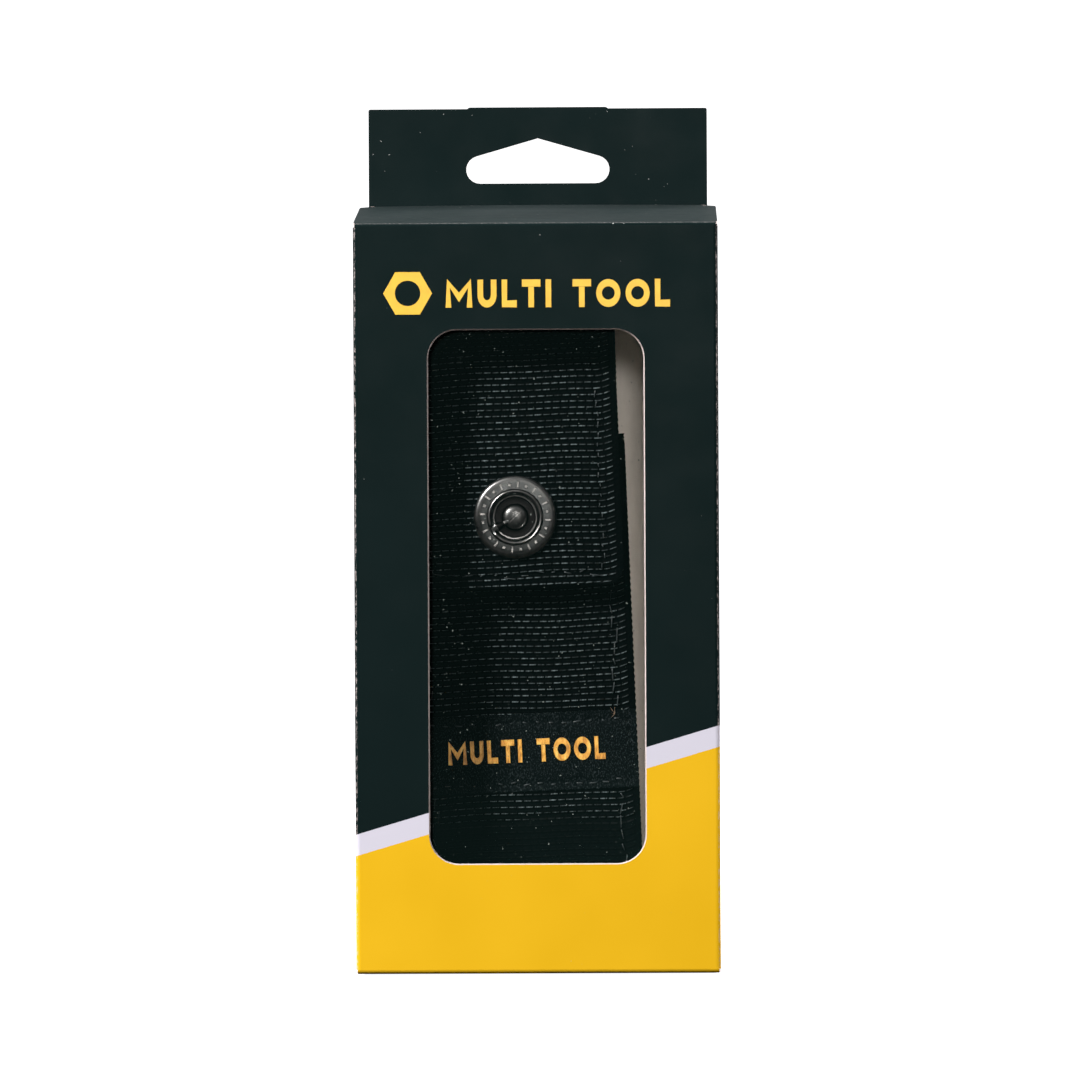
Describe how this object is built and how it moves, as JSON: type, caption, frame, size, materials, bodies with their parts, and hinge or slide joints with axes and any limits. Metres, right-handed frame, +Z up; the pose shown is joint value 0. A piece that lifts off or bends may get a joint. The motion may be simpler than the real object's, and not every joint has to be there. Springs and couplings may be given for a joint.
{
  "type": "boxed multi tool",
  "caption": "Hanging window carton with tuck lids, holding a ribbed webbing snap pouch with a closed folding plier tool inside.",
  "frame": {"origin": "centre of the carton's footprint, on the face it stands on", "axes": "+Z up towards the hang tab, +X to the right seen from the window, the window faces -Y"},
  "size_m": [0.07, 0.04, 0.1683],
  "materials": {
    "printed_board": "coated",
    "plain_board": "matte",
    "clear_film": "clear gloss",
    "ribbed_webbing": "ribbed nylon weave",
    "elastic": "knit elastic",
    "label_ribbon": "satin weave",
    "snap_metal": "black oxide satin",
    "tool_steel": "satin",
    "blade_steel": "ground",
    "pin_steel": "polished"
  },
  "bodies": {
    "carton": {"carton_front_panel": "printed_board", "carton_left_panel": "printed_board", "carton_right_panel": "printed_board", "carton_back_panel": "printed_board", "hang_tab_doubler": "printed_board", "carton_glue_flap": "plain_board", "window_film": "clear_film"},
    "top_lid": {"top_lid": "printed_board"},
    "top_tongue": {"top_tuck_tongue": "printed_board"},
    "top_left_dust_flap": {"top_left_dust_flap": "printed_board"},
    "top_right_dust_flap": {"top_right_dust_flap": "printed_board"},
    "bottom_lid": {"bottom_lid": "printed_board"},
    "bottom_tongue": {"bottom_tuck_tongue": "printed_board"},
    "bottom_left_dust_flap": {"bottom_left_dust_flap": "printed_board"},
    "bottom_right_dust_flap": {"bottom_right_dust_flap": "printed_board"},
    "pouch": {"pouch_front_panel": "ribbed_webbing", "pouch_base": "ribbed_webbing", "pouch_back_panel": "ribbed_webbing", "left_elastic_gusset": "elastic", "right_elastic_gusset": "elastic", "belt_loop": "ribbed_webbing", "woven_label": "label_ribbon", "snap_stud": "snap_metal", "snap_eyelet": "snap_metal"},
    "pouch_flap": {"pouch_flap": "ribbed_webbing", "snap_cap": "snap_metal", "snap_socket": "snap_metal"},
    "folding_tool": {"left_handle": "tool_steel", "right_handle": "tool_steel", "left_handle_liners": "tool_steel", "right_handle_liners": "tool_steel", "left_plier_jaw": "tool_steel", "right_plier_jaw": "tool_steel", "plier_rivet": "pin_steel", "knife_blade": "blade_steel", "sheepsfoot_blade": "blade_steel", "saw_blade": "blade_steel", "file_blade": "blade_steel", "left_back_spring": "tool_steel", "right_back_spring": "tool_steel", "large_screwdriver": "tool_steel", "small_screwdriver": "tool_steel", "awl": "tool_steel", "can_opener": "tool_steel", "bit_driver": "tool_steel", "cross_point_driver": "tool_steel", "left_handle_pivot_pin": "pin_steel", "right_handle_pivot_pin": "pin_steel", "left_tool_pivot_pin": "pin_steel", "right_tool_pivot_pin": "pin_steel"}
  },
  "joints": [
    {"name": "contents_lift", "type": "slide", "parent": "carton", "child": "pouch", "axis": [0, 0, 1], "range_m": [0, 0.144]},
    {"name": "top_lid_crease", "type": "hinge", "parent": "carton", "child": "top_lid", "pos_m": [0, -0.02, 0.144], "axis": [1, 0, 0], "range_deg": [0, 252]},
    {"name": "top_tongue_crease", "type": "hinge", "parent": "top_lid", "child": "top_tongue", "pos_m": [0, 0.01858, 0.149], "axis": [1, 0, 0], "range_deg": [0, 77]},
    {"name": "top_left_dust_crease", "type": "hinge", "parent": "carton", "child": "top_left_dust_flap", "pos_m": [-0.035, 0, 0.144], "axis": [0, -1, 0], "range_deg": [0, 260]},
    {"name": "top_right_dust_crease", "type": "hinge", "parent": "carton", "child": "top_right_dust_flap", "pos_m": [0.035, 0, 0.144], "axis": [0, 1, 0], "range_deg": [0, 260]},
    {"name": "bottom_lid_crease", "type": "hinge", "parent": "carton", "child": "bottom_lid", "pos_m": [0, -0.02, 0], "axis": [-1, 0, 0], "range_deg": [0, 180]},
    {"name": "bottom_tongue_crease", "type": "hinge", "parent": "bottom_lid", "child": "bottom_tongue", "pos_m": [0, 0.0189, 0], "axis": [-1, 0, 0], "range_deg": [0, 60]},
    {"name": "bottom_left_dust_crease", "type": "hinge", "parent": "carton", "child": "bottom_left_dust_flap", "pos_m": [-0.035, 0, 0.00065], "axis": [0, 1, 0], "range_deg": [0, 110]},
    {"name": "bottom_right_dust_crease", "type": "hinge", "parent": "carton", "child": "bottom_right_dust_flap", "pos_m": [0.035, 0, 0.00065], "axis": [0, -1, 0], "range_deg": [0, 110]},
    {"name": "snap_flap_fold", "type": "hinge", "parent": "pouch", "child": "pouch_flap", "pos_m": [-0.00566, 0.0004, 0.12511], "axis": [-0.9993, 0, -0.0384], "range_deg": [0, 6]},
    {"name": "tool_draw", "type": "slide", "parent": "pouch", "child": "folding_tool", "axis": [-0.0384, 0, 0.9993], "range_m": [0, 0.0035]}
  ],
  "couplings": [
    {"joint": "top_lid_crease", "follows": "contents_lift", "rad_per_m": 30.301},
    {"joint": "top_tongue_crease", "follows": "contents_lift", "rad_per_m": 9.0903},
    {"joint": "top_left_dust_crease", "follows": "contents_lift", "rad_per_m": 31.392},
    {"joint": "top_right_dust_crease", "follows": "contents_lift", "rad_per_m": 31.392},
    {"joint": "bottom_tongue_crease", "follows": "bottom_lid_crease", "ratio": 0.3},
    {"joint": "bottom_left_dust_crease", "follows": "bottom_lid_crease", "ratio": 0.55},
    {"joint": "bottom_right_dust_crease", "follows": "bottom_lid_crease", "ratio": 0.55}
  ]
}
